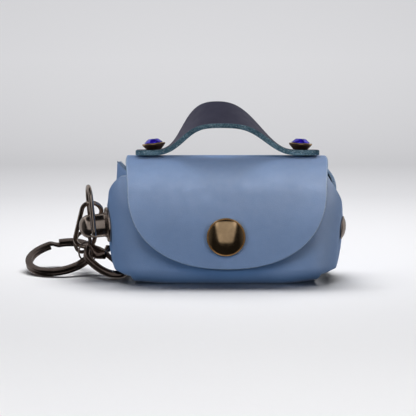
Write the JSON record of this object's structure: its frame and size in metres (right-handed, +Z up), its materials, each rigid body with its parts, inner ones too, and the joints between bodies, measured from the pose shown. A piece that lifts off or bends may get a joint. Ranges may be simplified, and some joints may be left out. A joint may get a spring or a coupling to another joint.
{
  "type": "keychain coin purse",
  "caption": "Small folded-leather coin purse shaped like a handbag, with a snap flap, a strap handle with gem rivets, and a key ring and trigger clasp on a side stud.",
  "frame": {"origin": "on the table under the centre of the purse's flat bottom", "axes": "+X to the right as the flap is faced, +Y from the flap to the back, +Z up"},
  "size_m": [0.1287, 0.0513, 0.0703],
  "materials": {
    "blue_leather": "fine-grained dyed leather with a soft sheen",
    "dark_leather": "smooth dark leather with painted blue-green edges",
    "bronze": "polished antique bronze",
    "violet_glass": "faceted violet-blue glass",
    "gunmetal": "polished warm gunmetal plate",
    "dark_steel": "dark polished gunmetal plate"
  },
  "bodies": {
    "purse": {"purse_body": "blue_leather", "handle_strap": "dark_leather", "gem_setting_left": "bronze", "gem_setting_right": "bronze", "gem_left": "violet_glass", "gem_right": "violet_glass", "snap_cap": "bronze", "snap_stud": "bronze", "side_rivet": "gunmetal", "side_stud": "gunmetal", "d_ring": "gunmetal", "link_ring": "gunmetal", "jump_ring": "gunmetal", "split_ring": "dark_steel", "clasp_hook": "dark_steel"},
    "lever": {"clasp_lever": "dark_steel"}
  },
  "joints": [
    {"name": "clasp_lever_turn", "type": "hinge", "parent": "purse", "child": "lever", "pos_m": [-0.04928, 0.00673, 0.00929], "axis": [0.05, -0.5149, 0.8558], "range_deg": [-18, 0], "stiffness_Nm_per_rad": 0.004}
  ]
}
